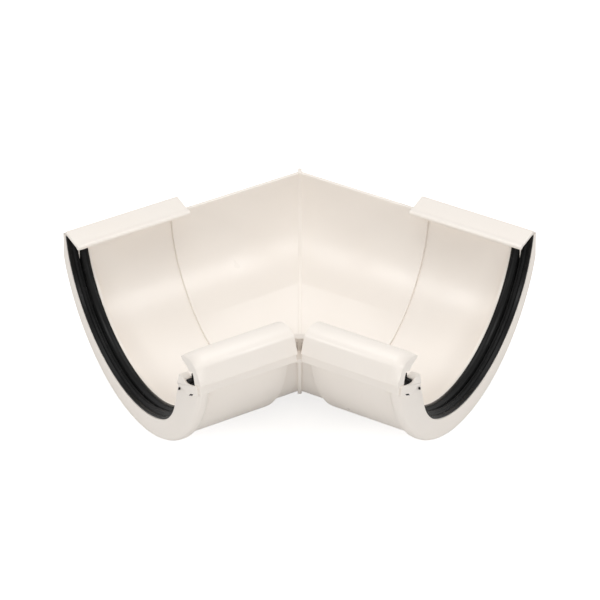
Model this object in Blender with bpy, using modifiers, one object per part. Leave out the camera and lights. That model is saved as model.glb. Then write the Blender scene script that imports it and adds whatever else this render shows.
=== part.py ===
"""Internal gutter angle: a half-round PVC roof gutter fitting that turns two gutter runs round
an inside corner.

The moulding is one piece. Two half-round arms meet at a mitre. Each arm ends in a socket with a
thick collar, and a rubber seal sits in the collar. A flat clip over the rear wall and a curled
hood over the front wall hold the gutter's two edges.

Each arm is drawn in its own frame: X runs across the arm to the front (the inside of the
corner), Y runs along the arm from the mitre to the mouth, and Z is up. Z is zero at the middle
of the mouth's circle.
"""
import math

import bmesh
import bpy
from mathutils import Matrix, Vector

# Corner and arm lengths, in metres and degrees
CORNER_ANGLE = 120.0
ARM_LENGTH = 0.0881
STOP_DISTANCE = 0.0360
ARC_STEPS = 48

# Trough beside the mitre
TROUGH_RADIUS = 0.0570
TROUGH_WALL = 0.0022
TROUGH_MIDDLE_X = 0.0018
TROUGH_MIDDLE_Z = -0.0096
TROUGH_REAR_TOP = -0.0102
TROUGH_FRONT_TOP = -0.0072

# Socket, wider than the trough by a step that stops the gutter
STOP_STEP = 0.0011
SOCKET_WALL = 0.0024
SOCKET_FRONT_TOP = -0.0110
SOCKET_INTO_CLIP = 0.0004
WALL_LAP = 0.0015

# Collar at the mouth
MOUTH_STEP = 0.0033
LAND_STEP = 0.0028
COLLAR_THICKNESS = 0.0067
COLLAR_MIDDLE_X = 0.0010
COLLAR_MIDDLE_Z = -0.0036
COLLAR_LENGTH = 0.0105
COLLAR_LAND = 0.0012
COLLAR_ROUND = 0.0022
COLLAR_CHEEK_Z = -0.0200
COLLAR_CHEEK_PROUD = 0.0010

# Thin front cheek that closes the seal's seat at the mouth
CHEEK_THICKNESS = 0.0012
CHEEK_RADIUS = 0.0300
CHEEK_TURN = 60.0
CHEEK_LEAN = 16.0

# Rear clip
CLIP_START = 0.0303
CLIP_TOP = -0.0049
CLIP_WIDTH = 0.0136
CLIP_DROP = 0.0011
CLIP_THICKNESS = 0.0018
CLIP_STANDOFF = 0.0016
CLIP_LIP = 0.0012
CLIP_LIP_BACK = 0.0018
CLIP_SETBACK = 0.0004

# Front channel and hood
HOOD_START = 0.0402
HOOD_RADIUS = 0.0088
HOOD_WALL = 0.0020
HOOD_SETBACK = 0.0024
HOOD_RISE = 0.0037
HOOD_WRAP = 150.0
HOOD_END_SETBACK = 0.0003
STRIP_STEP = 0.0004
STRIP_HEIGHT = 0.0055
CHANNEL_DEPTH = 0.0095
CHANNEL_KNEE = 0.0035
CHANNEL_KNEE_RISE = 0.0005

# Ribs along the mitre
MITRE_RIB_WIDTH = 0.0018
MITRE_RIB_OUTSIDE = 0.0010
MITRE_RIB_INSIDE = 0.0004

# Rubber seal
SEAL_CLEARANCE = 0.0003
SEAL_HEIGHT = 0.0038
SEAL_FACE_SETBACK = 0.0004
SEAL_BASE = 0.0011
SEAL_RIB_HEIGHT = 0.0005
SEAL_RIBS = 3
SEAL_LIP_LENGTH = 0.0024
SEAL_BAND_LENGTH = 0.0022
SEAL_RAMP = 0.0004
SEAL_TAB_HEIGHT = 0.0060
SEAL_TAB_REACH = 0.0060

BODY_COLOUR = (0.86, 0.83, 0.78, 1.0)
SEAL_COLOUR = (0.012, 0.012, 0.013, 1.0)

# Sizes that follow from the ones above
HALF_ANGLE = math.radians(CORNER_ANGLE / 2.0)
TROUGH_OUTER = TROUGH_RADIUS + TROUGH_WALL
SOCKET_RADIUS = TROUGH_RADIUS + STOP_STEP
SOCKET_OUTER = SOCKET_RADIUS + SOCKET_WALL
MOUTH_RADIUS = TROUGH_RADIUS + MOUTH_STEP
LAND_RADIUS = MOUTH_RADIUS - LAND_STEP
COLLAR_RADIUS = MOUTH_RADIUS + COLLAR_THICKNESS
SEAT_START = ARM_LENGTH - COLLAR_LENGTH + COLLAR_LAND
SEAL_RADIUS = MOUTH_RADIUS - SEAL_CLEARANCE
SEAL_START = SEAT_START + SEAL_CLEARANCE
SEAL_END = ARM_LENGTH - SEAL_FACE_SETBACK
MITRE_RUN = 1.0 / math.tan(HALF_ANGLE)
ARM_START = -(TROUGH_OUTER - TROUGH_MIDDLE_X + 2.0 * WALL_LAP) * MITRE_RUN


def clear_scene():
    """Take everything out of the open file, so that the part stands alone."""
    for old in list(bpy.data.objects):
        bpy.data.objects.remove(old, do_unlink=True)


def make_collection(name):
    """A new collection in the scene."""
    group = bpy.data.collections.new(name)
    bpy.context.scene.collection.children.link(group)
    return group


def make_material(name, colour, roughness):
    """A plain Principled material."""
    material = bpy.data.materials.new(name)
    material.use_nodes = True
    material.diffuse_color = colour
    shader = material.node_tree.nodes["Principled BSDF"]
    shader.inputs["Base Color"].default_value = colour
    shader.inputs["Roughness"].default_value = roughness
    shader.inputs["Metallic"].default_value = 0.0
    return material


def arc(middle, radius, first, last, steps):
    """Points on a circle from one angle to another, in radians."""
    points = []
    for index in range(steps + 1):
        angle = first + (last - first) * index / steps
        points.append((middle[0] + radius * math.cos(angle), middle[1] + radius * math.sin(angle)))
    return points


def half_round(middle, radius, front_top, rear_top, steps=ARC_STEPS):
    """A half-round line from the front wall's top, under the trough, to the rear wall's top.

    A wall that ends above the circle's middle carries on straight up, and one that ends below
    it stops part of the way round the circle.
    """
    front_angle = -math.asin(min(1.0, max(0.0, (middle[1] - front_top) / radius)))
    rear_angle = -math.pi + math.asin(min(1.0, max(0.0, (middle[1] - rear_top) / radius)))
    line = arc(middle, radius, front_angle, rear_angle, steps)
    if front_top > middle[1]:
        line.insert(0, (middle[0] + radius, front_top))
    if rear_top > middle[1]:
        line.append((middle[0] - radius, rear_top))
    return line


def collect_mesh(curve_object, name, group):
    """Turn a curve object into a mesh object with its loose caps welded on."""
    bpy.context.view_layer.update()
    graph = bpy.context.evaluated_depsgraph_get()
    mesh = bpy.data.meshes.new_from_object(curve_object.evaluated_get(graph))
    work = bmesh.new()
    work.from_mesh(mesh)
    bmesh.ops.remove_doubles(work, verts=work.verts, dist=0.000002)
    bmesh.ops.recalc_face_normals(work, faces=work.faces)
    work.to_mesh(mesh)
    work.free()
    solid = bpy.data.objects.new(name, mesh)
    solid.matrix_world = curve_object.matrix_world.copy()
    group.objects.link(solid)
    bpy.data.objects.remove(curve_object, do_unlink=True)
    return solid


def flat_curve(name, outline):
    """A closed flat curve through the outline's points."""
    data = bpy.data.curves.new(name, "CURVE")
    data.dimensions = "2D"
    data.fill_mode = "BOTH"
    spline = data.splines.new("POLY")
    spline.points.add(len(outline) - 1)
    for point, place in zip(spline.points, outline):
        point.co = (place[0], place[1], 0.0, 1.0)
    spline.use_cyclic_u = True
    return data


def extrude_along_arm(name, outline, start, end, group):
    """A solid whose outline lies across the arm, between two distances along it."""
    data = flat_curve(name, outline)
    data.extrude = (end - start) / 2.0
    piece = bpy.data.objects.new(name, data)
    group.objects.link(piece)
    piece.matrix_world = (Matrix.Translation((0.0, (start + end) / 2.0, 0.0))
                          @ Matrix.Rotation(math.radians(90.0), 4, "X"))
    return collect_mesh(piece, name, group)


def combine(target, other, operation):
    """Join or cut the target with another solid, and remove that solid."""
    modifier = target.modifiers.new("combine", "BOOLEAN")
    modifier.operation = operation
    modifier.solver = "EXACT"
    modifier.object = other
    bpy.context.view_layer.update()
    graph = bpy.context.evaluated_depsgraph_get()
    mesh = bpy.data.meshes.new_from_object(target.evaluated_get(graph))
    target.modifiers.remove(modifier)
    target.data = mesh
    bpy.data.objects.remove(other, do_unlink=True)
    return target


def round_outer_rim(solid, distance, middle, radius, size, steps=3):
    """Round the edges that lie in the plane at a distance along the arm and on a circle."""
    work = bmesh.new()
    work.from_mesh(solid.data)
    place = solid.matrix_world
    rim = []
    for edge in work.edges:
        on_rim = edge.calc_face_angle(0.0) > 0.5
        for vertex in edge.verts:
            point = place @ vertex.co
            reach = math.hypot(point.x - middle[0], point.z - middle[1])
            if abs(point.y - distance) > 0.00001 or abs(reach - radius) > 0.00002:
                on_rim = False
        if on_rim:
            rim.append(edge)
    bmesh.ops.bevel(work, geom=rim, offset=size, segments=steps, profile=0.5, affect="EDGES")
    work.to_mesh(solid.data)
    work.free()
    return solid


def make_trough(group):
    """The half-round wall beside the mitre, drawn past the mitre plane and trimmed there later."""
    middle = (TROUGH_MIDDLE_X, TROUGH_MIDDLE_Z)
    inner = half_round(middle, TROUGH_RADIUS, TROUGH_FRONT_TOP, TROUGH_REAR_TOP)
    outer = half_round(middle, TROUGH_OUTER, TROUGH_FRONT_TOP, TROUGH_REAR_TOP)
    outline = outer + inner[::-1]
    return extrude_along_arm("trough", outline, ARM_START, STOP_DISTANCE, group)


def make_socket(group):
    """The wider wall that the gutter's end slides into, from just behind the stop to the collar."""
    middle = (TROUGH_MIDDLE_X, TROUGH_MIDDLE_Z)
    rear_top = CLIP_TOP - CLIP_THICKNESS + SOCKET_INTO_CLIP
    inner = half_round(middle, SOCKET_RADIUS, SOCKET_FRONT_TOP, rear_top)
    outer = half_round(middle, SOCKET_OUTER, SOCKET_FRONT_TOP, rear_top)
    outline = outer + inner[::-1]
    start = STOP_DISTANCE - WALL_LAP
    end = SEAT_START - COLLAR_LAND / 2.0
    return extrude_along_arm("socket", outline, start, end, group)


def make_collar(group, tools):
    """The thick rim at the mouth, bored for the seal, with a narrow land behind the seal."""
    middle = (COLLAR_MIDDLE_X, COLLAR_MIDDLE_Z)
    start = ARM_LENGTH - COLLAR_LENGTH
    channel_top = channel_floor() - HOOD_WALL
    front_angle = -math.asin((middle[1] - channel_top) / COLLAR_RADIUS)
    rear_angle = -math.pi + math.asin((middle[1] - COLLAR_CHEEK_Z) / COLLAR_RADIUS)
    outline = arc(middle, COLLAR_RADIUS, front_angle, rear_angle, ARC_STEPS)
    outline.append((clip_rear() - COLLAR_CHEEK_PROUD, CLIP_TOP - CLIP_THICKNESS))
    front_wall = TROUGH_MIDDLE_X + SOCKET_OUTER
    outline.append((front_wall, CLIP_TOP - CLIP_THICKNESS))
    outline.append((front_wall, channel_top))
    collar = extrude_along_arm("collar", outline, start, ARM_LENGTH, group)
    round_outer_rim(collar, ARM_LENGTH, middle, COLLAR_RADIUS, COLLAR_ROUND)
    round_outer_rim(collar, start, middle, COLLAR_RADIUS, COLLAR_ROUND)
    head = 4.0 * WALL_LAP
    land = half_round((0.0, 0.0), LAND_RADIUS, head, head)
    combine(collar, extrude_along_arm("land_bore", land, start - head, ARM_LENGTH + head, tools),
            "DIFFERENCE")
    reach = 2.0 * COLLAR_RADIUS
    trim = [(0.0, SOCKET_FRONT_TOP), (reach, SOCKET_FRONT_TOP), (reach, reach), (0.0, reach)]
    combine(collar, extrude_along_arm("front_trim", trim, start - head, ARM_LENGTH + head, tools),
            "DIFFERENCE")
    return collar


def cheek_edge(clearance, top):
    """The cheek's inner edge, from its top down to where it leaves the mouth's circle.

    A tighter arc turns in from the mouth's circle and runs up as a leaning straight line.
    """
    turn = math.radians(CHEEK_TURN)
    lean = math.radians(CHEEK_LEAN)
    away = MOUTH_RADIUS - CHEEK_RADIUS
    middle = (away * math.cos(turn), -away * math.sin(turn))
    line = arc(middle, CHEEK_RADIUS - clearance, -lean, -turn, ARC_STEPS // 4)
    run = (top - line[0][1]) / math.cos(lean)
    line.insert(0, (line[0][0] + run * math.sin(lean), top))
    return line


def cut_seat(body, tools):
    """Bore the collar and the clip's foot for the seal, and leave the thin cheek in front."""
    top = seat_top()
    seat = half_round((0.0, 0.0), MOUTH_RADIUS, top, top)
    behind = ARM_LENGTH - CHEEK_THICKNESS
    beyond = ARM_LENGTH + COLLAR_LENGTH
    combine(body, extrude_along_arm("seal_seat", seat, SEAT_START, behind, tools), "DIFFERENCE")
    rear_angle = -math.pi + math.asin(-top / MOUTH_RADIUS)
    mouth = cheek_edge(0.0, top)
    mouth += arc((0.0, 0.0), MOUTH_RADIUS, -math.radians(CHEEK_TURN), rear_angle, ARC_STEPS)[1:]
    start = behind - COLLAR_LAND
    return combine(body, extrude_along_arm("mouth", mouth, start, beyond, tools), "DIFFERENCE")


def trim_seal(seal, tools):
    """Cut the seal back behind the cheek, with its clearance all round."""
    top = seat_top()
    reach = 2.0 * COLLAR_RADIUS
    region = cheek_edge(SEAL_CLEARANCE, top)
    region += [(region[-1][0], -reach), (reach, -reach), (reach, top)]
    start = ARM_LENGTH - CHEEK_THICKNESS - SEAL_CLEARANCE
    cutter = extrude_along_arm("seal_trim", region, start, ARM_LENGTH + COLLAR_LENGTH, tools)
    return combine(seal, cutter, "DIFFERENCE")


def seat_top():
    """The height where the seal's seat ends, level with the underside of the clip's lip side."""
    return CLIP_TOP - CLIP_THICKNESS - CLIP_DROP


def clip_rear():
    """Where the clip's rear face stands, across the arm."""
    return TROUGH_MIDDLE_X - SOCKET_OUTER - CLIP_STANDOFF


def make_clip(group):
    """The flat clip over the rear wall: a short back, a plate and a beaded lip."""
    rear = clip_rear()
    front = rear + CLIP_WIDTH
    under = CLIP_TOP - CLIP_THICKNESS
    foot = TROUGH_MIDDLE_Z
    back = rear + SOCKET_WALL
    lip_middle = (front - CLIP_LIP, CLIP_TOP - CLIP_DROP - CLIP_LIP)
    outline = [(rear, foot)]
    outline += arc((rear + CLIP_LIP, CLIP_TOP - CLIP_LIP), CLIP_LIP, math.pi, math.pi / 2.0, 4)
    outline += arc(lip_middle, CLIP_LIP, math.radians(85.0), math.radians(-120.0), 8)
    outline.append((lip_middle[0] - CLIP_LIP_BACK, under - CLIP_DROP))
    outline.append((back, under))
    outline.append((back, foot))
    end = ARM_LENGTH - CLIP_SETBACK
    return extrude_along_arm("rear_clip", outline[::-1], CLIP_START, end, group)


def hood_middle():
    """The middle of the hood's curl, across the arm and in height."""
    return (TROUGH_MIDDLE_X + SOCKET_OUTER - HOOD_SETBACK, SOCKET_FRONT_TOP + HOOD_RISE)


def channel_floor():
    """The height of the channel's floor, where it leaves the front wall."""
    return hood_middle()[1] - CHANNEL_DEPTH


def make_hood(group):
    """The channel outside the front wall and the hood that curls over the gutter's front bead."""
    middle = hood_middle()
    inner_radius = HOOD_RADIUS - HOOD_WALL
    wrap = math.radians(HOOD_WRAP)
    floor = channel_floor()
    wall = TROUGH_MIDDLE_X + SOCKET_OUTER - SOCKET_WALL / 2.0
    out = middle[0] + HOOD_RADIUS
    strip_foot = middle[1] - STRIP_HEIGHT
    tip = middle[0] + (HOOD_RADIUS - HOOD_WALL / 2.0) * math.cos(wrap)
    tip_height = middle[1] + (HOOD_RADIUS - HOOD_WALL / 2.0) * math.sin(wrap)
    knee = wall + CHANNEL_KNEE
    strip_inside = out - HOOD_WALL - 2.0 * STRIP_STEP
    slope = (strip_foot - floor - CHANNEL_KNEE_RISE) / (strip_inside - knee)
    outline = [(wall, floor - 2.0 * HOOD_WALL)]
    outline.append((knee, floor - HOOD_WALL + CHANNEL_KNEE_RISE))
    outline.append((strip_inside, strip_foot - HOOD_WALL))
    outline.append((out - 2.0 * STRIP_STEP, strip_foot))
    outline.append((out - STRIP_STEP, middle[1] - STRIP_STEP))
    outline += arc(middle, HOOD_RADIUS, 0.0, wrap, 24)
    outline += arc((tip, tip_height), HOOD_WALL / 2.0, wrap, wrap + math.pi, 6)[1:-1]
    outline += arc(middle, inner_radius, wrap, 0.0, 24)
    outline.append((strip_inside, strip_foot))
    outline.append((strip_inside - HOOD_WALL / 2.0, strip_foot - slope * HOOD_WALL / 2.0))
    outline.append((knee, floor + CHANNEL_KNEE_RISE))
    outline.append((wall, floor))
    end = ARM_LENGTH - HOOD_END_SETBACK
    return extrude_along_arm("front_hood", outline, HOOD_START, end, group)


def arm_matrix():
    """The turn that takes the arm's frame to the right-hand arm's place."""
    return Matrix.Rotation(math.pi + HALF_ANGLE, 4, "Z")


def make_mitre_rib(group):
    """Half of a thin rib on the mitre plane, proud of the wall inside and outside."""
    middle = (TROUGH_MIDDLE_X, TROUGH_MIDDLE_Z)
    inner = half_round(middle, TROUGH_RADIUS - MITRE_RIB_INSIDE, TROUGH_FRONT_TOP,
                       TROUGH_REAR_TOP + MITRE_RIB_INSIDE)
    outer = half_round(middle, TROUGH_OUTER + MITRE_RIB_OUTSIDE, TROUGH_FRONT_TOP,
                       TROUGH_REAR_TOP + MITRE_RIB_INSIDE)
    stretch = 1.0 / math.sin(HALF_ANGLE)
    outline = [(-x * stretch, z) for x, z in outer + inner[::-1]]
    data = flat_curve("mitre_rib", outline)
    data.extrude = MITRE_RIB_WIDTH / 2.0
    rib = bpy.data.objects.new("mitre_rib", data)
    group.objects.link(rib)
    # The outline's first axis becomes world Y and its second becomes world Z.
    rib.matrix_world = (Matrix.Rotation(math.radians(90.0), 4, "Z")
                        @ Matrix.Rotation(math.radians(90.0), 4, "X"))
    return collect_mesh(rib, "mitre_rib", group)


def seal_tab_outline(clearance):
    """The block of rubber that crosses the front wall and fills the channel's foot."""
    out = hood_middle()[0] + HOOD_RADIUS
    inside = SEAL_RADIUS - SEAL_TAB_REACH - clearance
    outside = out - HOOD_WALL - 2.0 * STRIP_STEP - SEAL_CLEARANCE
    low = channel_floor() + SEAL_CLEARANCE - clearance
    top = low + SEAL_TAB_HEIGHT + 2.0 * clearance
    knee = TROUGH_MIDDLE_X + SOCKET_OUTER - SOCKET_WALL / 2.0
    corner = hood_middle()[1] - STRIP_HEIGHT + SEAL_CLEARANCE
    return [(inside, low), (knee, low), (outside, corner), (outside, top), (inside, top)]


def make_body(group, tools):
    """One arm of the moulding, mirrored about the mitre plane into the whole."""
    body = make_trough(group)
    combine(body, make_socket(tools), "UNION")
    combine(body, make_collar(tools, tools), "UNION")
    combine(body, make_clip(tools), "UNION")
    combine(body, make_hood(tools), "UNION")
    cut_seat(body, tools)
    notch = extrude_along_arm("seal_notch", seal_tab_outline(SEAL_CLEARANCE), SEAT_START,
                              ARM_LENGTH + COLLAR_LENGTH, tools)
    combine(body, notch, "DIFFERENCE")
    body.data.transform(arm_matrix() @ body.matrix_world)
    body.matrix_world = Matrix.Identity(4)
    combine(body, make_mitre_rib(tools), "UNION")
    body.name = "gutter_angle_body"
    mirror = body.modifiers.new("other_arm", "MIRROR")
    mirror.use_axis = (True, False, False)
    mirror.use_bisect_axis = (True, False, False)
    mirror.use_mirror_merge = True
    mirror.merge_threshold = 0.000001
    mirror.bisect_threshold = 0.000001
    return body


def seal_profile():
    """The seal's section: distance along the arm against height off the seat.

    From the mouth inwards it has a flat band, a ribbed band and a raised lip.
    """
    length = SEAL_END - SEAL_START
    lip = length - SEAL_LIP_LENGTH
    step = SEAL_HEIGHT / 2.0
    pitch = (lip - SEAL_RAMP - SEAL_BAND_LENGTH) / SEAL_RIBS
    profile = [(0.0, 0.0), (0.0, SEAL_BASE), (SEAL_BAND_LENGTH - SEAL_RAMP, SEAL_BASE)]
    profile.append((SEAL_BAND_LENGTH, step))
    for index in range(SEAL_RIBS):
        begin = SEAL_BAND_LENGTH + pitch * index
        flank = (pitch - SEAL_RAMP) / 2.0
        profile.append((begin + flank, step))
        profile.append((begin + flank + SEAL_RAMP / 2.0, step + SEAL_RIB_HEIGHT))
        profile.append((begin + pitch - SEAL_RAMP / 2.0, step + SEAL_RIB_HEIGHT))
        profile.append((begin + pitch, step))
    profile.append((lip - SEAL_RAMP / 2.0, step))
    profile.append((lip + SEAL_RAMP / 2.0, SEAL_HEIGHT))
    profile.append((length - SEAL_RAMP, SEAL_HEIGHT))
    profile.append((length, SEAL_HEIGHT - SEAL_RIB_HEIGHT))
    profile.append((length, 0.0))
    return profile


def make_seal(name, group, tools, side):
    """The rubber seal of one socket, turned round the mouth's circle."""
    top = seat_top() - SEAL_CLEARANCE
    front_angle = -math.asin(-SOCKET_FRONT_TOP / SEAL_RADIUS)
    rear_angle = -math.pi + math.asin(-top / (SEAL_RADIUS - SEAL_HEIGHT))
    sweep = front_angle - rear_angle
    work = bmesh.new()
    ring = []
    for along, height in seal_profile():
        ring.append(work.verts.new((SEAL_RADIUS - height, 0.0, SEAL_END - along)))
    for first, second in zip(ring, ring[1:] + ring[:1]):
        work.edges.new((first, second))
    mesh = bpy.data.meshes.new(name)
    work.to_mesh(mesh)
    work.free()
    turned = bpy.data.objects.new(name, mesh)
    group.objects.link(turned)
    screw = turned.modifiers.new("turn", "SCREW")
    screw.axis = "Z"
    screw.angle = sweep
    screw.steps = ARC_STEPS
    screw.render_steps = ARC_STEPS
    screw.merge_threshold = 0.00001
    bpy.context.view_layer.update()
    graph = bpy.context.evaluated_depsgraph_get()
    solid = bpy.data.meshes.new_from_object(turned.evaluated_get(graph))
    turned.modifiers.remove(screw)
    work = bmesh.new()
    work.from_mesh(solid)
    bmesh.ops.holes_fill(work, edges=[edge for edge in work.edges if edge.is_boundary], sides=0)
    bmesh.ops.recalc_face_normals(work, faces=work.faces)
    work.to_mesh(solid)
    work.free()
    # The turned ring stands along Z, and the arm runs along Y.
    solid.transform(Matrix.Rotation(math.radians(-90.0), 4, "X"))
    solid.transform(Matrix.Rotation(-front_angle, 4, "Y"))
    turned.data = solid
    tab = extrude_along_arm("seal_tab", seal_tab_outline(0.0), SEAL_START, SEAL_END - SEAL_BASE, tools)
    combine(turned, tab, "UNION")
    trim_seal(turned, tools)
    turned.data.transform(arm_matrix())
    if side < 0:
        turned.data.transform(Matrix.Scale(-1.0, 4, Vector((1.0, 0.0, 0.0))))
        turned.data.flip_normals()
    return turned


def finish(solid, material, angle):
    """Give a solid its material and shade its rounds smooth."""
    solid.data.materials.clear()
    solid.data.materials.append(material)
    solid.data.shade_smooth()
    solid.data.set_sharp_from_angle(angle=math.radians(angle))


def stand_on_ground(solids):
    """Move the part so that it stands on Z = 0 with the origin under the middle of its outline."""
    bpy.context.view_layer.update()
    graph = bpy.context.evaluated_depsgraph_get()
    corners = []
    for solid in solids:
        shown = solid.evaluated_get(graph)
        corners += [shown.matrix_world @ Vector(corner) for corner in shown.bound_box]
    middle = (min(c.y for c in corners) + max(c.y for c in corners)) / 2.0
    lowest = min(c.z for c in corners)
    for solid in solids:
        solid.location = (0.0, -middle, -lowest)


def main():
    """Build the moulding and its two seals."""
    clear_scene()
    group = make_collection("internal_gutter_angle")
    tools = make_collection("cutters")
    cream = make_material("cream_pvc", BODY_COLOUR, 0.32)
    rubber = make_material("black_rubber", SEAL_COLOUR, 0.55)
    body = make_body(group, tools)
    right = make_seal("seal_right", group, tools, 1)
    left = make_seal("seal_left", group, tools, -1)
    finish(body, cream, 32.0)
    finish(right, rubber, 35.0)
    finish(left, rubber, 35.0)
    stand_on_ground([body, right, left])


main()
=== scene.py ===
# %% [markdown]
# # Dressing an internal gutter angle
#
# This lesson builds the fine surface of a half-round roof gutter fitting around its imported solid
# model. The real fitting is one cream-white PVC moulding with a black rubber seal in each end.
# We load the solid model first, so that everything we make has a place to sit.

# %% Load the frame
import math

import bpy
import mathutils
import numpy as np
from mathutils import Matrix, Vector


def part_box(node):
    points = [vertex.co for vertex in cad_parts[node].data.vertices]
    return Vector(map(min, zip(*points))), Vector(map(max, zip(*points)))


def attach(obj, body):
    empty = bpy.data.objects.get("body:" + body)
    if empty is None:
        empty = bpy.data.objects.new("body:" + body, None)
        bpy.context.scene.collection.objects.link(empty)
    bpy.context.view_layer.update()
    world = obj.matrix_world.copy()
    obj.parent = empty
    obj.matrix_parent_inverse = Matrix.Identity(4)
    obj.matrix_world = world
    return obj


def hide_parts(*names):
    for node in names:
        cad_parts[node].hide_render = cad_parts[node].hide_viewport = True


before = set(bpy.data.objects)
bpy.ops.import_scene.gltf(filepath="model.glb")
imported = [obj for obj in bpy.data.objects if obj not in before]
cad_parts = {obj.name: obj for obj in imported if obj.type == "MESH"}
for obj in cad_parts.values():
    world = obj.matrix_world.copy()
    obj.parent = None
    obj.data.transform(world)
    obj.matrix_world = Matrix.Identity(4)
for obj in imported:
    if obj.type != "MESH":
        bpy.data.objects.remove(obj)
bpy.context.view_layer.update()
print("solid nodes", sorted(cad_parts))

# %% [markdown]
# ## One frame for each arm
#
# The real fitting has two equal arms that meet at a corner of 120 degrees. Each could be drawn
# in world coordinates, but one arm in a frame of its own is simpler, and its mirror image is then
# sure to match. In that frame the first number runs across the arm, positive to the front, the
# second runs along the arm from the mitre, and the third is the height above the middle of the
# mouth's circle. Two shifts bring this frame to the place where the solid model stands.

# %% Sizes of the moulding, in metres
HALF_ANGLE = math.radians(60.0)
SIN_HALF = math.sin(HALF_ANGLE)
COS_HALF = math.cos(HALF_ANGLE)
MITRE_RUN = COS_HALF / SIN_HALF
ARM_LENGTH = 0.0881
STOP_DISTANCE = 0.0360
WALL_MIDDLE = (0.0018, -0.0096)
TROUGH_INNER = 0.0570
TROUGH_OUTER = 0.0587
SOCKET_INNER = 0.0581
SOCKET_OUTER = 0.0605
MOUTH_RADIUS = 0.0603
LAND_RADIUS = 0.0575
COLLAR_MIDDLE = (0.0010, -0.0036)
COLLAR_RADIUS = 0.0670
COLLAR_START = 0.0776
SEAT_START = 0.0788
RIB_OUTER = 0.0602
body_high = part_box("gutter_angle_body")[1]
SHIFT_Y = body_high.y - (RIB_OUTER - WALL_MIDDLE[0]) / SIN_HALF
SHIFT_Z = COLLAR_RADIUS - COLLAR_MIDDLE[1]
print("shift of the arm frame", round(SHIFT_Y, 5), round(SHIFT_Z, 5))


# %% From the arm's frame to the world
def arm_to_world(across, along, height, side):
    """World points of arm-frame arrays.

    The arm's direction is (sin, -cos) of the half angle and the way across it is (-cos, -sin),
    and the left arm is the right one with X turned over.
    """
    x = side * (along * SIN_HALF - across * COS_HALF)
    y = SHIFT_Y - (along * COS_HALF + across * SIN_HALF)
    z = SHIFT_Z + height
    return np.stack(np.broadcast_arrays(x, y, z), axis=-1)


print("middle of the right mouth", arm_to_world(0.0, ARM_LENGTH, 0.0, 1).round(4))

# %% [markdown]
# ## Turning grids of points into meshes
#
# A moulding has no loose sheets: each of its walls is a closed body. Every piece below is
# therefore a closed grid: rows of points that each go once round a closed line. Neighbouring rows
# are joined by four-sided faces, and the first and last rows are closed with one face each.
# All the face numbers come from one array of indices, so no loop visits a vertex.

# %% Grid to mesh
SHARP_ANGLE = math.radians(35.0)


def grid_faces(rows, columns, start, flip):
    """Indices of the quads between rows, where each row closes on itself.

    Face (i, j) joins points (i, j), (i, j+1), (i+1, j+1) and (i+1, j).
    """
    index = start + np.arange(rows * columns).reshape(rows, columns)
    following = np.roll(index, -1, axis=1)
    quads = np.stack([index[:-1], following[:-1], following[1:], index[1:]], axis=-1)
    faces = quads.reshape(-1, 4).tolist() + [index[0][::-1].tolist(), index[-1].tolist()]
    if flip:
        faces = [face[::-1] for face in faces]
    return faces


def mesh_piece(name, grids):
    """One object from closed grids, each an array of rows x columns x 3 and a flip flag."""
    points = []
    faces = []
    count = 0
    for grid, flip in grids:
        rows, columns = grid.shape[:2]
        points.append(grid.reshape(-1, 3))
        faces += grid_faces(rows, columns, count, flip)
        count += rows * columns
    mesh = bpy.data.meshes.new(name)
    mesh.from_pydata(np.concatenate(points).tolist(), [], faces)
    mesh.update()
    mesh.shade_smooth()
    mesh.set_sharp_from_angle(angle=SHARP_ANGLE)
    piece = bpy.data.objects.new(name, mesh)
    bpy.context.scene.collection.objects.link(piece)
    print(name, len(mesh.vertices), "points", len(mesh.polygons), "faces")
    return piece


print("faces of a grid of 3 rows and 4 columns", len(grid_faces(3, 4, 0, False)))

# %% [markdown]
# ## Lines and rounded corners
#
# No corner of the real moulding is perfectly sharp. A Bevel modifier could round them, but it
# gives every edge one width unless each is weighted. Here each outline is drawn with its corners
# already bent, so each corner has its own roundness.


# %% Lines
def circle(middle, radius, first, last, steps):
    """Points on a circle between two angles in radians: the middle plus radius x (cos, sin)."""
    angle = np.linspace(first, last, steps)
    return np.stack([middle[0] + radius * np.cos(angle), middle[1] + radius * np.sin(angle)],
                    axis=1)


def even_steps(line, count):
    """The same line with its points at even distances, read off at equal shares of its length."""
    step = np.concatenate([[0.0], np.cumsum(np.linalg.norm(np.diff(line, axis=0), axis=1))])
    place = np.linspace(0.0, step[-1], count)
    return np.stack([np.interp(place, step, line[:, 0]), np.interp(place, step, line[:, 1])],
                    axis=1)


# %% Rounded corners
BEND_STEPS = 5


def bend(before, corner, after, size, steps=BEND_STEPS):
    """A rounded corner: a quadratic curve between points a given distance before and after it.

    The curve is (1 - t) squared x start + 2 t (1 - t) x corner + t squared x end.
    """
    before, corner, after = map(np.asarray, (before, corner, after))
    start = corner + (before - corner) * size / np.linalg.norm(before - corner)
    end = corner + (after - corner) * size / np.linalg.norm(after - corner)
    t = np.linspace(0.0, 1.0, steps)[:, None]
    return (1 - t) ** 2 * start + 2 * t * (1 - t) * corner + t ** 2 * end


def soft_outline(corners, sizes):
    """A closed outline with each corner rounded by its own size, or all of them by one size."""
    corners = np.array(corners, float)
    before, after = np.roll(corners, 1, axis=0), np.roll(corners, -1, axis=0)
    sizes = np.broadcast_to(sizes, len(corners))
    return np.vstack([bend(*turn) for turn in zip(before, corners, after, sizes)])


# %% Direction of an outline
def outward_normals(outline):
    """Unit normals of a closed outline that runs anticlockwise: the tangent turned right."""
    tangent = np.roll(outline, -1, axis=0) - np.roll(outline, 1, axis=0)
    tangent /= np.linalg.norm(tangent, axis=1, keepdims=True) + 1e-12
    return np.stack([tangent[:, 1], -tangent[:, 0]], axis=1)


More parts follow.
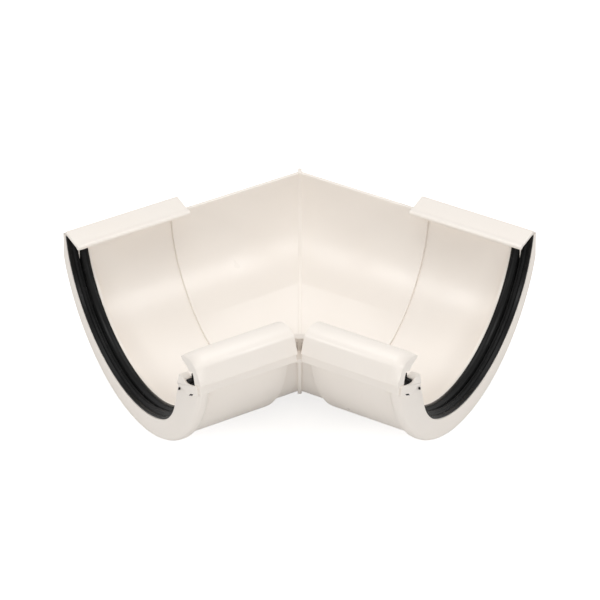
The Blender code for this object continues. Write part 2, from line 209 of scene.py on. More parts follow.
def anticlockwise(outline):
    """The outline in anticlockwise order, judged by the sign of its area.

    The area is half the sum of x1 y2 - x2 y1 over neighbouring points.
    """
    following = np.roll(outline, -1, axis=0)
    area = np.sum(outline[:, 0] * following[:, 1] - following[:, 0] * outline[:, 1])
    return outline if area > 0 else outline[::-1]


# %% A section carried along the arm
EDGE_TURN = np.radians(np.linspace(0.0, 90.0, 5))


def extrude_rounded(outline, start, end, edge, side, slant=0.0, slant_from=0.0):
    """A solid along the arm with rounded end edges.

    At each end the outline shrinks along its normals by edge x (1 - cos a) while the distance
    advances by edge x sin a, as the angle a goes from 0 to 90 degrees. A slant cuts the first
    end back in proportion to the distance across the arm from a given line.
    """
    outline = anticlockwise(outline)
    inset = edge * (1 - np.cos(np.concatenate([EDGE_TURN[::-1], EDGE_TURN])))
    reach = edge * (1 - np.sin(EDGE_TURN))
    along = np.concatenate([start + reach[::-1], end - reach])
    shape = outline[None] - outward_normals(outline)[None] * inset[:, None, None]
    nearness = np.concatenate([np.ones(len(EDGE_TURN)), np.zeros(len(EDGE_TURN))])
    cut_back = slant * (slant_from - shape[..., 0]) * nearness[:, None]
    grid = arm_to_world(shape[..., 0], along[:, None] + cut_back, shape[..., 1], side)
    return grid, side < 0


print("points on a rounded square", len(soft_outline([(0, 0), (1, 0), (1, 1), (0, 1)], 0.1)))

# %% [markdown]
# ## The trough beside the mitre
#
# Between the two stops the real wall is a half-round shell of even thickness, cut at a slant
# where the arms meet. Two extrusions joined by a boolean would give it, but the section is the
# same in both arms, so a few rows are enough: one on the mitre plane, where the distance along
# the arm is the distance across it divided by the tangent of the half angle, and two at each
# stop, where the edge is softened.

# %% Half-round line
LINE_STEPS = 240


def half_round(middle, radius, front_top, rear_top, count, cheek=None):
    """Evenly spaced points down the front, round under the arm and up the rear.

    The line is a circle that goes on straight up where a wall ends above its middle. A cheek,
    given as a height and an end point, leaves the circle at that height and runs straight.
    """
    front = -math.asin(max(0.0, (middle[1] - front_top) / radius))
    leave = rear_top if cheek is None else cheek[0]
    rear = -math.pi + math.asin(max(0.0, (middle[1] - leave) / radius))
    line = circle(middle, radius, front, rear, LINE_STEPS)
    if front_top > middle[1]:
        line = np.vstack([[middle[0] + radius, front_top], line])
    if cheek is not None:
        line = np.vstack([line, cheek[1]])
    elif rear_top > middle[1]:
        line = np.vstack([line, [middle[0] - radius, rear_top]])
    return even_steps(line, count)


# %% Wall section
WALL_STEPS = 150
WALL_TOP_ROUND = 0.0006


def wall_outline(middle, inner, outer, front_top, rear_top):
    """A closed wall section: the outer line, a rounded rear top, the inner line, a front top."""
    out = half_round(middle, outer, front_top, rear_top, WALL_STEPS)
    inn = half_round(middle, inner, front_top, rear_top, WALL_STEPS)[::-1]
    rear = np.vstack([bend(out[-3], out[-1], inn[0], WALL_TOP_ROUND),
                      bend(out[-1], inn[0], inn[2], WALL_TOP_ROUND)])
    front = np.vstack([bend(inn[-3], inn[-1], out[0], WALL_TOP_ROUND),
                       bend(inn[-1], out[0], out[2], WALL_TOP_ROUND)])
    return anticlockwise(np.vstack([out[2:-2], rear, inn[2:-2], front]))


# %% Trough
TROUGH_FRONT_TOP = -0.0072
TROUGH_REAR_TOP = -0.0102
STEP_SOFT = 0.0002
section = wall_outline(WALL_MIDDLE, TROUGH_INNER, TROUGH_OUTER, TROUGH_FRONT_TOP, TROUGH_REAR_TOP)
inset_section = section - outward_normals(section) * STEP_SOFT
trough_rows = np.stack([
    arm_to_world(inset_section[:, 0], STOP_DISTANCE, inset_section[:, 1], -1),
    arm_to_world(section[:, 0], STOP_DISTANCE - STEP_SOFT, section[:, 1], -1),
    arm_to_world(section[:, 0], section[:, 0] * MITRE_RUN, section[:, 1], 1),
    arm_to_world(section[:, 0], STOP_DISTANCE - STEP_SOFT, section[:, 1], 1),
    arm_to_world(inset_section[:, 0], STOP_DISTANCE, inset_section[:, 1], 1),
])
trough = mesh_piece("moulding_trough", [(trough_rows, False)])

# %% [markdown]
# ## Socket and collar
#
# From the stop outwards the wall is a little wider, to take the gutter's end, and at the mouth it
# swells into a thick collar with round outer edges. A profile spun about one axis would not do,
# because the collar and the wall do not share a middle. Instead each point of the section has
# its own circle round the arm. In front, a thin cheek turns in from the mouth's circle and hides
# the end of the seal.

# %% Heights and distances round the arm
SOCKET_LAP = 0.0015
SOCKET_START = STOP_DISTANCE - SOCKET_LAP
SHOULDER = 0.0412
SOCKET_FRONT_TOP = -0.0110
CLIP_TOP = -0.0049
CLIP_THICKNESS = 0.0018
CLIP_UNDER = CLIP_TOP - CLIP_THICKNESS
CLIP_REACH = 0.0016
CLIP_REAR = WALL_MIDDLE[0] - SOCKET_OUTER - CLIP_REACH
WALL_INTO_CLIP = 0.0004
SOCKET_REAR_TOP = CLIP_UNDER + WALL_INTO_CLIP
SEAT_TOP = -0.0069
COLLAR_FRONT_TOP = -0.0204
COLLAR_OUTER_TOP = -0.0134
COLLAR_BEHIND_CLIP = 0.0010
COLLAR_REAR = (-0.0200, (CLIP_REAR - COLLAR_BEHIND_CLIP, CLIP_UNDER))
COLLAR_ROUND = 0.0024
COLLAR_BACK = 0.0822
COLUMNS = 190
ORIGIN = (0.0, 0.0)
print("socket length", round(ARM_LENGTH - STOP_DISTANCE, 4), "m")


# %% Rings round the arm
def ring(middle, radius, along, front_top, rear_top, cheek=None):
    """One line of the section carried round the arm, with its distance along it."""
    return flat_ring(half_round(middle, radius, front_top, rear_top, COLUMNS, cheek), along)


def flat_ring(line, along):
    """A line across the arm, put at one distance along it."""
    return np.column_stack([line[:, 0], np.full(len(line), along), line[:, 1]])


def ring_grid(rings, side):
    """A closed grid whose rows are sections: point k of each section lies on ring k."""
    shape = np.stack(rings, axis=1)
    return arm_to_world(shape[..., 0], shape[..., 1], shape[..., 2], side), side > 0


# %% Sockets
SHOULDER_SOFT = 0.0003


def socket_grid(side):
    """The socket's plain wall. Outside, it widens at a shoulder some way past the stop."""
    end = COLLAR_BACK + COLLAR_ROUND / 2
    tops = (SOCKET_FRONT_TOP, SOCKET_REAR_TOP)
    rings = [ring(WALL_MIDDLE, radius, along, *tops) for radius, along in (
        (SOCKET_INNER, SOCKET_START), (SOCKET_INNER, end),
        (SOCKET_OUTER, end), (SOCKET_OUTER, SHOULDER + SHOULDER_SOFT),
        (SOCKET_OUTER - SHOULDER_SOFT, SHOULDER),
        (TROUGH_OUTER, SHOULDER), (TROUGH_OUTER, SOCKET_START))]
    return ring_grid(rings, side)


sockets = mesh_piece("moulding_sockets", [socket_grid(1), socket_grid(-1)])

# %% Cheek and mouth lines
CHEEK_THICKNESS = 0.0012
CHEEK_RADIUS = 0.0300
CHEEK_TURN = math.radians(60.0)
CHEEK_LEAN = math.radians(16.0)
CHEEK_STEPS = 40
MOUTH_STEPS = 200


def cheek_edge(grow, top):
    """The cheek's inner edge, from its top to where it meets the mouth's circle.

    A tighter arc turns in from the mouth's circle and runs up as a leaning straight line. Grow
    moves the edge away from the trough.
    """
    away = MOUTH_RADIUS - CHEEK_RADIUS
    middle = (away * math.cos(CHEEK_TURN), -away * math.sin(CHEEK_TURN))
    bow = circle(middle, CHEEK_RADIUS + grow, -CHEEK_LEAN, -CHEEK_TURN, CHEEK_STEPS)
    run = (top - bow[0, 1]) / math.cos(CHEEK_LEAN)
    head = [bow[0, 0] + run * math.sin(CHEEK_LEAN), top]
    return np.vstack([[head], bow])


def mouth_line(grow):
    """The mouth's inner edge: the cheek in front, then the mouth's circle to the rear wall."""
    radius = MOUTH_RADIUS + grow
    rear = -math.pi + math.asin(max(0.0, -SEAT_TOP / radius))
    around = circle(ORIGIN, radius, -CHEEK_TURN, rear, MOUTH_STEPS)[1:]
    return even_steps(np.vstack([cheek_edge(grow, COLLAR_FRONT_TOP), around]), COLUMNS)


print("cheek's inner edge stands at", round(float(cheek_edge(0.0, COLLAR_FRONT_TOP)[0, 0]), 4))

# %% Collars
MOUTH_SOFT = 0.0005
QUARTER = np.radians(np.linspace(0.0, 90.0, 8))


def collar_edge(turn, end, inwards):
    """A ring of a rounded outer edge: its radius falls by 1 - cos a, its distance by 1 - sin a."""
    radius = COLLAR_RADIUS - COLLAR_ROUND * (1 - math.cos(turn))
    along = end + inwards * COLLAR_ROUND * (1 - math.sin(turn))
    return ring(COLLAR_MIDDLE, radius, along, COLLAR_OUTER_TOP, SEAT_TOP, COLLAR_REAR)


def collar_grid(side):
    """Each section runs over the land, the seal's seat, the back of the cheek, the mouth's
    softened edge and face, the two rounded outer edges, and back inside the socket's wall.
    """
    behind = ARM_LENGTH - CHEEK_THICKNESS
    rings = [ring(ORIGIN, radius, along, COLLAR_FRONT_TOP, SEAT_TOP) for radius, along in (
        (LAND_RADIUS, COLLAR_START), (LAND_RADIUS, SEAT_START),
        (MOUTH_RADIUS, SEAT_START), (MOUTH_RADIUS, behind))]
    rings.append(flat_ring(mouth_line(0.0), behind))
    rings += [flat_ring(mouth_line(MOUTH_SOFT * (1 - math.cos(turn))),
                        ARM_LENGTH - MOUTH_SOFT * (1 - math.sin(turn))) for turn in QUARTER[::2]]
    rings += [collar_edge(turn, ARM_LENGTH, -1) for turn in QUARTER[::-1]]
    rings += [collar_edge(turn, COLLAR_BACK, 1) for turn in QUARTER]
    inside_wall = (SOCKET_INNER + SOCKET_OUTER) / 2
    rings += [ring(WALL_MIDDLE, inside_wall, along, COLLAR_OUTER_TOP, SEAT_TOP)
              for along in (COLLAR_BACK, COLLAR_START)]
    return ring_grid(rings, side)


collars = mesh_piece("moulding_collars", [collar_grid(1), collar_grid(-1)])

# %% [markdown]
# ## Rear clip
#
# Over the rear wall of each socket lies a flat clip that the gutter's back edge snaps under. It
# is a plate with a short back and a beaded lip. Its form does not change along the arm, so its
# section is drawn once and extruded, which keeps the bead even from end to end.

# %% Clip sections
CLIP_START = 0.0303
CLIP_WIDTH = 0.0136
CLIP_DROP = 0.0011
CLIP_LIP = 0.0012
BEAD_SINK = 0.0002
BEAD_FIRST = math.radians(100.0)
BEAD_LAST = math.radians(-120.0)
TOP_BEND = 0.0009
UNDER_BEND = 0.0005
CLIP_BACK = CLIP_REAR + 0.0024
BACK_LAP = 0.0006
BACK_ROUND = 0.0003
clip_round = (CLIP_REAR + CLIP_LIP, CLIP_TOP - CLIP_LIP)
lip_middle = (CLIP_REAR + CLIP_WIDTH - CLIP_LIP, CLIP_TOP - CLIP_DROP - CLIP_LIP)
bead_foot = (lip_middle[0] - 1.6 * CLIP_LIP, CLIP_TOP - CLIP_DROP - BEAD_SINK)
bead_top = (lip_middle[0], lip_middle[1] + CLIP_LIP)
bead_under = (lip_middle[0] - 1.5 * CLIP_LIP, CLIP_UNDER - CLIP_DROP)
clip_line = np.vstack([
    [[CLIP_REAR, CLIP_UNDER]],
    circle(clip_round, CLIP_LIP, math.pi, math.pi / 2, 9),
    bend((CLIP_REAR + CLIP_LIP, CLIP_TOP), bead_foot, bead_top, TOP_BEND),
    circle(lip_middle, CLIP_LIP, BEAD_FIRST, BEAD_LAST, 25),
    bend(lip_middle, bead_under, (CLIP_BACK, CLIP_UNDER), UNDER_BEND),
])
back_line = soft_outline([
    (CLIP_REAR, WALL_MIDDLE[1]), (CLIP_BACK, WALL_MIDDLE[1]),
    (CLIP_BACK, CLIP_UNDER + BACK_LAP), (CLIP_REAR, CLIP_UNDER + BACK_LAP)], BACK_ROUND)
print("clip section", len(clip_line), "points, back", len(back_line), "points")

# %% Clips
CLIP_EDGE = 0.0005
CLIP_END = ARM_LENGTH - 0.0004
BACK_END = COLLAR_BACK + 0.0010
clips = mesh_piece("moulding_clips", [
    extrude_rounded(line, CLIP_START, end, CLIP_EDGE, side)
    for line, end in ((clip_line, CLIP_END), (back_line, BACK_END)) for side in (1, -1)])

# %% [markdown]
# ## Front channel and hood
#
# Outside the front wall a channel takes the rolled front edge of the gutter, and a hood curls
# over it with its free edge above the trough. From its thin edge the section follows a circle
# over the top to a soft ridge, then falls as a flat front to a small ledge and a straight strip.
# A slanted floor runs back to the wall. Like the clip, it is one section, drawn once and
# extruded, and its end at the mitre is cut at a slant.

# %% Hood sizes
HOOD_START = 0.0402
HOOD_SLANT = 0.13
HOOD_END = ARM_LENGTH - 0.0002
HOOD_ROUND = 0.0055
HOOD_EDGE = 0.0003
HOOD_MIDDLE = (WALL_MIDDLE[0] + SOCKET_OUTER - 0.0024, SOCKET_FRONT_TOP + 0.0037)
HOOD_RADIUS = 0.00878
HOOD_WALL = 0.0020
HOOD_TIP = 0.0009
HOOD_WRAP = math.radians(150.0)
HOOD_FULL_WALL = math.radians(50.0)
ROUND_FROM = math.radians(60.0)
RIDGE = math.radians(46.0)
STRIP_STEP = 0.0004
BULGE_END = HOOD_MIDDLE[1] - 0.0021
STRIP_FOOT = HOOD_MIDDLE[1] - 0.0055
STRIP_END = HOOD_MIDDLE[1] - 0.0069
CHANNEL_FLOOR = HOOD_MIDDLE[1] - 0.0079
WALL_LINE = WALL_MIDDLE[0] + SOCKET_OUTER - 0.0012
KNEE = WALL_LINE + 0.0035
KNEE_RISE = 0.0005
HOOD_OUT = HOOD_MIDDLE[0] + HOOD_RADIUS
STRIP_INSIDE = HOOD_OUT - HOOD_WALL - 2 * STRIP_STEP
INNER_STEPS = 60
print("hood's middle", [round(v, 4) for v in HOOD_MIDDLE], "front", round(HOOD_OUT, 4))

# %% Hood section
KNEE_BEND = 0.0012
FOOT_BEND = 0.0006
LEDGE_BEND = 0.0004
RIDGE_BEND = 0.0012
CHANNEL_BEND = 0.0006
tip_radius = HOOD_RADIUS - HOOD_TIP / 2
tip = (HOOD_MIDDLE[0] + tip_radius * math.cos(HOOD_WRAP),
       HOOD_MIDDLE[1] + tip_radius * math.sin(HOOD_WRAP))
foot_in = (STRIP_INSIDE, STRIP_END - 0.0010)
foot_out = (HOOD_OUT - 2 * STRIP_STEP, STRIP_END)
strip_top = (HOOD_OUT - 2.5 * STRIP_STEP, BULGE_END - 0.5 * STRIP_STEP)
bulge_low = (HOOD_OUT - 0.3 * STRIP_STEP, BULGE_END)
ridge = circle(HOOD_MIDDLE, HOOD_RADIUS, RIDGE, RIDGE, 1)[0]
hood_top = circle(HOOD_MIDDLE, HOOD_RADIUS, ROUND_FROM, HOOD_WRAP, 45)
hood_front = np.vstack([[bulge_low], bend(bulge_low, ridge, hood_top[0], RIDGE_BEND, 9)])
low_knee = (KNEE, CHANNEL_FLOOR - 0.0011)
high_knee = (KNEE, CHANNEL_FLOOR + KNEE_RISE)
wall_foot = (WALL_LINE, CHANNEL_FLOOR - 0.0034)
inner_radius = HOOD_RADIUS - np.interp(
    np.linspace(HOOD_WRAP, 0.0, INNER_STEPS), [HOOD_FULL_WALL, HOOD_WRAP], [HOOD_WALL, HOOD_TIP])
hood_line = np.vstack([
    [wall_foot],
    bend(wall_foot, low_knee, foot_in, KNEE_BEND),
    bend(low_knee, foot_in, foot_out, FOOT_BEND),
    bend(foot_in, foot_out, strip_top, LEDGE_BEND),
    [strip_top], hood_front, hood_top,
    circle(tip, HOOD_TIP / 2, HOOD_WRAP, HOOD_WRAP + math.pi, 15)[1:-1],
    HOOD_MIDDLE + inner_radius[:, None] * circle(ORIGIN, 1.0, HOOD_WRAP, 0.0, INNER_STEPS),
    bend((STRIP_INSIDE, HOOD_MIDDLE[1]), (STRIP_INSIDE, STRIP_FOOT), high_knee, CHANNEL_BEND),
    bend((STRIP_INSIDE, STRIP_FOOT), high_knee, (WALL_LINE, CHANNEL_FLOOR), CHANNEL_BEND),
    [[WALL_LINE, CHANNEL_FLOOR]],
])
print("hood section", len(hood_line), "points")

# %% Hoods
hoods = mesh_piece("moulding_hoods", [
    extrude_rounded(hood_line, HOOD_START, HOOD_END - HOOD_ROUND + HOOD_EDGE, HOOD_EDGE, side,
                    HOOD_SLANT, HOOD_OUT)
    for side in (1, -1)])

# %% [markdown]
# ## Where the channel meets the mouth
#
# The front wall ends in a thin plate at the mouth. The plate dips like a saddle between the wall
# and the hood, and the black block of the seal shows over it. A short bar holds the seal's end
# down. These are small flat forms, so each is an outline of a few corners, extruded a short way.

# %% End plate, bar and end wall
PLATE_PROUD = 0.0006
PLATE_BACK = ARM_LENGTH - 0.0004
BAR_TOP = -0.0138
BAR_FRONT = 0.0548
BAR_LENGTH = 0.0034
BAR_LAP = 0.0001
LOW_LINE = COLLAR_FRONT_TOP + 0.0002
END_WALL_FOOT = math.radians(-12.0)
END_WALL_STEPS = 12
bar_rear = cheek_edge(0.0, BAR_TOP)[0, 0]
edge_low = bar_rear - (BAR_TOP - LOW_LINE) * math.tan(CHEEK_LEAN)
plate_corners = np.array([
    # across, height, rounding
    (edge_low, LOW_LINE, 0.0003),
    (0.0600, LOW_LINE, 0.0012),
    (0.0669, -0.0150, 0.0008),
    (0.0664, -0.0112, 0.0004),
    (0.0646, -0.0112, 0.0003),
    (0.0624, -0.0125, 0.0010),
    (0.0584, -0.0143, 0.0010),
    (0.0561, -0.0148, 0.0005),
    (BAR_FRONT + 0.0004, BAR_TOP - 0.0006, 0.0003),
    (BAR_FRONT - 0.0003, BAR_TOP + 0.0002, 0.0003),
    (bar_rear, BAR_TOP, 0.0008),
])
plate_line = soft_outline(plate_corners[:, :2], plate_corners[:, 2])
bar_line = soft_outline([(bar_rear + BAR_LAP, BAR_TOP), (bar_rear + BAR_LAP, LOW_LINE),
                         (BAR_FRONT, LOW_LINE), (BAR_FRONT, BAR_TOP)],
                        [0.0007, 0.0003, 0.0003, 0.0005])
below_middle = WALL_MIDDLE[1] - SOCKET_FRONT_TOP
end_wall = np.vstack([
    circle(WALL_MIDDLE, SOCKET_INNER, -math.asin(below_middle / SOCKET_INNER), END_WALL_FOOT,
           END_WALL_STEPS),
    circle(WALL_MIDDLE, SOCKET_OUTER, END_WALL_FOOT, -math.asin(below_middle / SOCKET_OUTER),
           END_WALL_STEPS)])
print("plate", len(plate_line), "bar", len(bar_line), "end wall", len(end_wall), "points")

# %% [markdown]
# ## The hood's end at the mouth
#
# Towards the mouth the hood grows thicker inside, and its top slopes down to a narrow end face
# shaped like a crescent. A plain extrusion has the same section everywhere, so this last stretch
# is a grid that passes from the hood's own outline to the outline of the end face.

# %% Outlines of the hood's end
RIM_STEPS = 60
INSIDE_STEPS = 40
# The share of the slope that is left out, from the hood's thin edge down to the strip.
fullness = np.interp(np.linspace(0.0, 1.0, RIM_STEPS), [0.0, 0.35, 0.75], [0.05, 0.25, 0.95])
rim_top = even_steps(np.vstack([hood_top[::-1], hood_front[::-1], [strip_top, foot_out]]),
                     RIM_STEPS)
rim_face = even_steps(np.array([
    (0.0509, -0.0042), (0.0521, -0.0031), (0.0534, -0.0027), (0.0563, -0.0025),
    (0.0591, -0.0031), (0.0609, -0.0041), (0.0616, -0.0052), (0.0625, -0.0081),
    (0.0633, -0.0116), (0.0645, -0.0138)]), RIM_STEPS)
rim_face += (rim_top - rim_face) * fullness[:, None]
rim_inside = even_steps(np.array([
    (0.0640, -0.0145), (0.0631, -0.0117), (0.0622, -0.0082), (0.0611, -0.0060),
    (0.0589, -0.0075), (0.0576, -0.0070), (0.0562, -0.0061), (0.0540, -0.0056),
    (0.0525, -0.0052), (0.0509, -0.0044)]), INSIDE_STEPS)
print("the end face lies up to", round(float(np.abs(rim_top - rim_face).max()), 4), "m inside")

# %% Grid of the hood's end
RIM_TURN = np.radians(np.linspace(0.0, 65.0, 9))
RIM_LAP = 0.0008
RIM_HIDE = 0.01


def hood_end_grid(side):
    """The hood's end, which slopes outside only.

    While the distance advances in proportion to sin a, the outer line moves in proportion to
    1 - cos a to the edge of the end face, and the inner line stays. The angle stops at 65
    degrees, which leaves a crisp edge round the face. The first row hides inside the hood.
    """
    fall = 1 - np.cos(RIM_TURN)
    rise = HOOD_ROUND * np.sin(RIM_TURN)
    share = np.concatenate([[RIM_HIDE], fall / fall[-1]])
    along = HOOD_END - HOOD_ROUND + np.concatenate([[-RIM_LAP], rise / np.sin(RIM_TURN[-1])])
    outer = rim_top[None] + (rim_face - rim_top)[None] * share[:, None, None]
    inner = np.broadcast_to(rim_inside, (len(share), INSIDE_STEPS, 2))
    shape = np.concatenate([outer, inner], axis=1)
    return arm_to_world(shape[..., 0], along[:, None], shape[..., 1], side), side > 0


# %% Plates and hood ends
PLATE_EDGE = 0.0003
BAR_END = ARM_LENGTH - 0.0002
END_WALL_END = ARM_LENGTH - 0.0050
plates = mesh_piece("moulding_mouth_plates", [
    extrude_rounded(line, start, end, PLATE_EDGE, side)
    for line, start, end in (
        (plate_line, PLATE_BACK, ARM_LENGTH + PLATE_PROUD),
        (bar_line, ARM_LENGTH - BAR_LENGTH, BAR_END),
        (end_wall, COLLAR_START, END_WALL_END))
    for side in (1, -1)] + [hood_end_grid(1), hood_end_grid(-1)])

# %% [markdown]
# ## Rib along the mitre
#
# The two halves of the mould leave a thin rib on the mitre plane. It follows the wall's section,
# stretched by the slant of the cut, and stands a little proud inside and outside. A small bridge
# joins the tops of the front walls, and a second one closes the gap between the channels. All
# three are flat forms across the mitre, so one function makes them from their outlines.

# %% Forms on the mitre plane
RIB_INSIDE = 0.0004
RIB_HALF_WIDTH = 0.0009
RIB_EDGE = 0.0003
BLOCK_ROWS = np.array([-0.75, -1.0, 1.0, 0.75])


def across_mitre(outline, x, inset):
    """A closed grid across the mitre, with one row of points for each X and its inset.

    On that plane Y is the shift less the distance across the arm over the sine of the half angle.
    """
    shape = outline[None] - outward_normals(outline)[None] * inset[:, None, None]
    y = SHIFT_Y - shape[..., 0] / SIN_HALF
    return np.stack(np.broadcast_arrays(x[:, None], y, SHIFT_Z + shape[..., 1]), axis=-1), False


def mitre_block(low, high, half_width):
    """A small block on the mitre plane, between two corners given as across and height."""
    outline = soft_outline([low, (high[0], low[1]), high, (low[0], high[1])], RIB_EDGE)
    inset = np.array([RIB_EDGE, 0.0, 0.0, RIB_EDGE])
    return across_mitre(outline, half_width * BLOCK_ROWS, inset)


# %% Mitre rib
rib_line = wall_outline(WALL_MIDDLE, TROUGH_INNER - RIB_INSIDE, RIB_OUTER, TROUGH_FRONT_TOP,
                        TROUGH_REAR_TOP + RIB_INSIDE)
rib_inset = RIB_EDGE * (1 - np.cos(np.concatenate([EDGE_TURN[::-1], EDGE_TURN])))
rib_x = RIB_HALF_WIDTH - RIB_EDGE * (1 - np.sin(EDGE_TURN))
wall_bridge = mitre_block(low=(0.0590, -0.0086), high=(0.0622, -0.0068), half_width=0.0022)
channel_bridge = mitre_block(low=(0.0600, -0.0155), high=(0.0676, -0.0136), half_width=0.0013)
rib = mesh_piece("moulding_mitre_rib", [
    across_mitre(rib_line, np.concatenate([-rib_x[::-1], rib_x]), rib_inset),
    wall_bridge, channel_bridge])

# %% [markdown]
# ## Rubber seals
#
# Each seal is a soft strip bent round the collar's seat, and the gutter's end presses on it. It
# could be an extruded strip on a curve modifier, but its height over the seat is a simple
# function of the way across it, and that function carried round the circle gives every rib its
# exact shape. From the mouth inwards come a low flat band, fine ribs, a groove and a broad raised
# lip. A block of the same rubber crosses the front wall into the channel under the hood. Beside
# it the end plate has two small dark recesses, a slot and a spot, shown here as thin dark inlays.

# %% Seal sizes
SEAL_GAP = 0.0003
SEAL_RADIUS = MOUTH_RADIUS - SEAL_GAP
SEAL_HEIGHT = 0.0038
SEAL_BASE = 0.0011
SEAL_START = SEAT_START + SEAL_GAP
SEAL_END = ARM_LENGTH - 0.0004
SEAL_FRONT_TOP = -0.0140
SEAL_REAR_TOP = 0.0071
print("seal width", round(SEAL_END - SEAL_START, 4), "m")

# %% Seal section
RIBS = 2
RIB_HEIGHT = 0.0005
RIB_SHARE = 0.52
RISE_START, RIBS_START, RIBS_END = 0.19, 0.24, 0.50
GROOVE_IN = (0.49, 0.52)
GROOVE_OUT = (0.53, 0.57)
GROOVE_DEPTH = 0.0007
LIP_START = 0.58
LIP_SHARE = 0.48
LIP_ARCH = 0.8
LIP_FULLNESS = 0.7
END_ROUND = 0.0004
END_WIDTH = 0.03


def smooth_step(position, low, high):
    """A cubic step from 0 to 1 between two positions: 3 t squared - 2 t cubed."""
    t = np.clip((position - low) / (high - low), 0.0, 1.0)
    return t * t * (3 - 2 * t)


def seal_height(position):
    """Height of the seal over its seat, for positions from 0 at the mouth to 1 inside.

    A low flat band rises by a smooth step to a ribbed band, made of a raised cosine wave. After a
    groove comes the broad lip, a sine arch to a power. The edge at the mouth rounds off.
    """
    rise = smooth_step(position, RISE_START, RIBS_START)
    base = SEAL_BASE + (RIB_SHARE * SEAL_HEIGHT - SEAL_BASE) * rise
    phase = np.clip((position - RIBS_START) / (RIBS_END - RIBS_START), 0.0, 1.0)
    wave = RIB_HEIGHT * (0.5 - 0.5 * np.cos(2 * np.pi * RIBS * phase))
    groove = smooth_step(position, *GROOVE_IN) * (1 - smooth_step(position, *GROOVE_OUT))
    arch = np.clip((position - LIP_START) / (1.0 - LIP_START), 0.0, 1.0)
    arch = np.clip(np.sin(np.pi * arch * LIP_ARCH), 0.0, 1.0)
    lip = LIP_SHARE * SEAL_HEIGHT * arch ** LIP_FULLNESS
    end = END_ROUND * (1 - smooth_step(position, 0.0, END_WIDTH))
    return base + wave - GROOVE_DEPTH * groove + lip - end


print("highest point of the seal", round(float(seal_height(np.linspace(0, 1, 99)).max()), 4), "m")

# %% Seal ring
SEAL_COLUMNS = 120
SEAT_COLUMNS = 12
SEAL_ROWS = 260
NO_LIMIT = 1.0
TAB_START = ARM_LENGTH - 0.0056
TAB_END = PLATE_BACK - 0.0001


def seal_ring(side):
    """The ring: rows go round the circle, and columns go round the section.

    A point's radius is the seat's less the height. Behind the cheek the ring is cut back, so
    there the distance along the arm has a limit.
    """
    position = np.linspace(0.0, 1.0, SEAL_COLUMNS)
    along = np.concatenate([SEAL_END - position * (SEAL_END - SEAL_START),
                            np.linspace(SEAL_START, SEAL_END, SEAT_COLUMNS)])
    radius = np.concatenate([SEAL_RADIUS - seal_height(position),
                             np.full(SEAT_COLUMNS, SEAL_RADIUS)])
    front = math.asin(SEAL_FRONT_TOP / SEAL_RADIUS)
    rear = -math.pi + math.asin(SEAL_REAR_TOP / (SEAL_RADIUS - SEAL_HEIGHT))
    angle = np.linspace(front, rear, SEAL_ROWS)
    edge = cheek_edge(-SEAL_GAP, 0.0)[::-1]
    bearing = np.arctan2(edge[:, 1], edge[:, 0])
    limit = np.interp(angle, bearing, np.hypot(edge[:, 0], edge[:, 1]), NO_LIMIT)
    limit = np.where(angle > -CHEEK_TURN, limit, NO_LIMIT)
    hidden = radius[None] > limit[:, None]
    along = np.where(hidden, np.minimum(along, TAB_END), along)
    angle = angle[:, None]
    return arm_to_world(radius * np.cos(angle), along, radius * np.sin(angle), side), side < 0


# %% Seal blocks and marks
TAB_TOP = -0.0142
MARK_ROUND = 0.0003
BLOCK_ROUND = 0.0004
BLOCK_EDGE = 0.0002
MARK_BACK = ARM_LENGTH - 0.0005
MARK_FRONT = ARM_LENGTH + PLATE_PROUD + 0.00006
HEEL_END = ARM_LENGTH - BAR_LENGTH
HEEL_START = HEEL_END - 0.0012
block_low = LOW_LINE + 0.0010
tab = soft_outline([(BAR_FRONT, block_low), (0.0600, block_low), (0.0650, -0.0165),
                    (0.0650, TAB_TOP), (BAR_FRONT, TAB_TOP)], BLOCK_ROUND)
heel = soft_outline([(0.0540, block_low), (0.0554, block_low), (0.0554, -0.0120),
                     (0.0540, -0.0125)], BLOCK_ROUND)
slot = soft_outline([(0.0590, -0.0197), (0.0621, -0.0180), (0.0630, -0.0165),
                     (0.0600, -0.0181)], MARK_ROUND)
spot = soft_outline([(0.0488, -0.0232), (0.0498, -0.0230), (0.0502, -0.0215),
                     (0.0492, -0.0217)], MARK_ROUND)
blocks = ((tab, TAB_START, TAB_END),
          (heel, HEEL_START, HEEL_END),
          (slot, MARK_BACK, MARK_FRONT), (spot, MARK_BACK, MARK_FRONT))
print("blocks and marks on each seal", len(blocks))

# %% Seals
seals = {side: mesh_piece(name, [seal_ring(side)] + [
    extrude_rounded(line, start, end, BLOCK_EDGE, side) for line, start, end in blocks])
    for side, name in ((1, "rubber_seal_right"), (-1, "rubber_seal_left"))}

# %% [markdown]
# ## Finishes
#
# The PVC is cream-white with a soft gloss. A moulded surface is never perfectly even, so a broad
# noise varies the roughness and the tint a little, and a fine noise gives the slight waviness
# that breaks up reflections. The rubber is near black with a dull gloss, fine grain and a trace
# of pale dust. Both are made of noise nodes on Object coordinates, because a picture texture
# would need a map of the surface and would show its pixels close up.


# %% Node helpers
def start_material(name, colour, roughness):
    """A material with a Principled shader, and its nodes and links to add to."""
    material = bpy.data.materials.new(name)
    material.use_nodes = True
    nodes = material.node_tree.nodes
    shader = nodes["Principled BSDF"]
    shader.inputs["Base Color"].default_value = (*colour, 1.0)
    shader.inputs["Roughness"].default_value = roughness
    return material, nodes, material.node_tree.links, shader


def noise(nodes, links, scale, detail):
    """The value of a noise texture on Object coordinates, with its scale in cycles per metre."""
    place = nodes.new("ShaderNodeTexCoord")
    texture = nodes.new("ShaderNodeTexNoise")
    texture.inputs["Scale"].default_value = scale
    texture.inputs["Detail"].default_value = detail
    links.new(place.outputs["Object"], texture.inputs["Vector"])
    return texture.outputs["Fac"]


